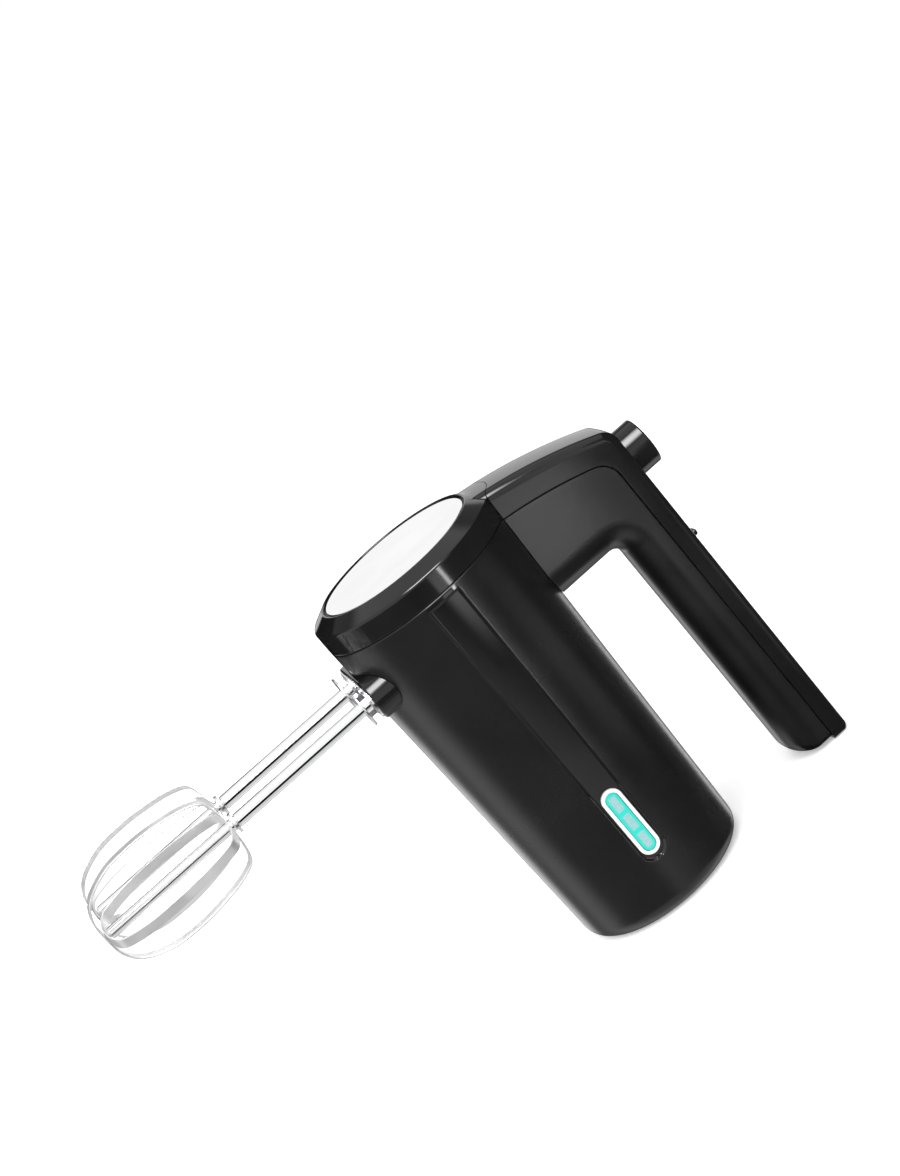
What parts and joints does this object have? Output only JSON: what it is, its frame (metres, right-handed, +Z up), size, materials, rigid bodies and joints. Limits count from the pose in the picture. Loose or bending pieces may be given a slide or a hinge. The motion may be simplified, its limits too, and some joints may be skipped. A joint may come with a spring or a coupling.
{
  "type": "cordless hand mixer",
  "caption": "Cordless hand mixer standing on its heel: tapered body, hooked handle with eject button, charge lamp and twin beaters driven by a worm gearbox.",
  "frame": {"origin": "centre of the base cover's underside, where the mixer stands", "axes": "+Z up the body's axis to the nose, +X towards the handle, beaters along -X, left beater at -Y"},
  "size_m": [0.3148, 0.095, 0.1935],
  "materials": {
    "gloss_black": "high gloss",
    "satin_black": "satin",
    "matte_black": "matte",
    "mirror_metal": "mirror",
    "steel": "satin",
    "brass": "satin",
    "wheel_nylon": "satin",
    "lamp_white": "gloss",
    "lamp_lens": "gloss, lit from behind",
    "circuit_board": "satin",
    "cell_wrap": "satin",
    "lead_red": "satin",
    "lead_black": "satin"
  },
  "bodies": {
    "housing": {"body_shell": "gloss_black", "nose_ring": "gloss_black", "handle_cover": "gloss_black", "socket_boss": "gloss_black", "grip_shell": "satin_black", "base_cover": "satin_black", "nose_disc": "mirror_metal", "socket_plate": "mirror_metal", "spindle_bush_front_left": "brass", "spindle_bush_rear_left": "brass", "spindle_bush_front_right": "brass", "spindle_bush_rear_right": "brass", "worm_bearing": "brass", "base_screw_1": "steel", "base_screw_2": "steel", "base_screw_3": "steel", "motor_screw_1": "steel", "motor_screw_2": "steel", "motor_can": "steel", "gearbox_bridge": "steel", "charge_socket": "steel", "gearbox_frame": "matte_black", "motor_end_bell": "matte_black", "battery_holder": "matte_black", "slide_switch": "matte_black", "lamp_rim": "lamp_white", "lamp_lens": "lamp_lens", "lamp_board": "circuit_board", "control_board": "circuit_board", "battery_cell_1": "cell_wrap", "battery_cell_2": "cell_wrap", "battery_cell_3": "cell_wrap", "switch_lead_red": "lead_red", "switch_lead_black": "lead_black"},
    "drive_left": {"worm_wheel_left": "wheel_nylon", "spindle_left": "steel"},
    "drive_right": {"worm_wheel_right": "wheel_nylon", "spindle_right": "steel"},
    "rotor": {"motor_shaft": "steel", "worm": "brass"},
    "ejector": {"eject_knob": "gloss_black", "eject_rod": "steel", "eject_yoke": "wheel_nylon", "eject_spring": "steel"},
    "pin_left": {"eject_pin_left": "steel"},
    "pin_right": {"eject_pin_right": "steel"},
    "beater_left": {"beater_shaft_left": "mirror_metal", "beater_collar_left": "mirror_metal", "beater_ferrule_left": "mirror_metal", "beater_blade_outer_left": "mirror_metal", "beater_blade_inner_left": "mirror_metal"},
    "beater_right": {"beater_shaft_right": "mirror_metal", "beater_collar_right": "mirror_metal", "beater_ferrule_right": "mirror_metal", "beater_blade_outer_right": "mirror_metal", "beater_blade_inner_right": "mirror_metal"},
    "speed_slider": {"speed_slider": "satin_black"}
  },
  "joints": [
    {"name": "drive_left_spin", "type": "hinge", "parent": "housing", "child": "drive_left", "pos_m": [0, -0.01825, 0.156], "axis": [1, 0, 0], "continuous": true},
    {"name": "drive_right_spin", "type": "hinge", "parent": "housing", "child": "drive_right", "pos_m": [0, 0.01825, 0.156], "axis": [1, 0, 0], "continuous": true},
    {"name": "motor_spin", "type": "hinge", "parent": "housing", "child": "rotor", "pos_m": [0, 0, 0.156], "axis": [0, 0, 1], "continuous": true},
    {"name": "eject_press", "type": "slide", "parent": "housing", "child": "ejector", "axis": [-1, 0, 0], "range_m": [0, 0.007], "stiffness_N_per_m": 400, "springref_m": -0.003, "deforming": ["eject_spring"]},
    {"name": "pin_left_push", "type": "slide", "parent": "drive_left", "child": "pin_left", "axis": [-1, 0, 0], "range_m": [0, 0.007]},
    {"name": "pin_right_push", "type": "slide", "parent": "drive_right", "child": "pin_right", "axis": [-1, 0, 0], "range_m": [0, 0.007]},
    {"name": "beater_left_pull", "type": "slide", "parent": "pin_left", "child": "beater_left", "axis": [-1, 0, 0], "range_m": [0, 0.034]},
    {"name": "beater_right_pull", "type": "slide", "parent": "pin_right", "child": "beater_right", "axis": [-1, 0, 0], "range_m": [0, 0.034]},
    {"name": "speed_slide", "type": "slide", "parent": "housing", "child": "speed_slider", "axis": [0, 0, 1], "range_m": [0, 0.012]}
  ],
  "couplings": [
    {"joint": "drive_right_spin", "follows": "drive_left_spin", "ratio": -1},
    {"joint": "motor_spin", "follows": "drive_left_spin", "ratio": -28},
    {"joint": "pin_left_push", "follows": "eject_press", "ratio": 1},
    {"joint": "pin_right_push", "follows": "eject_press", "ratio": 1}
  ]
}
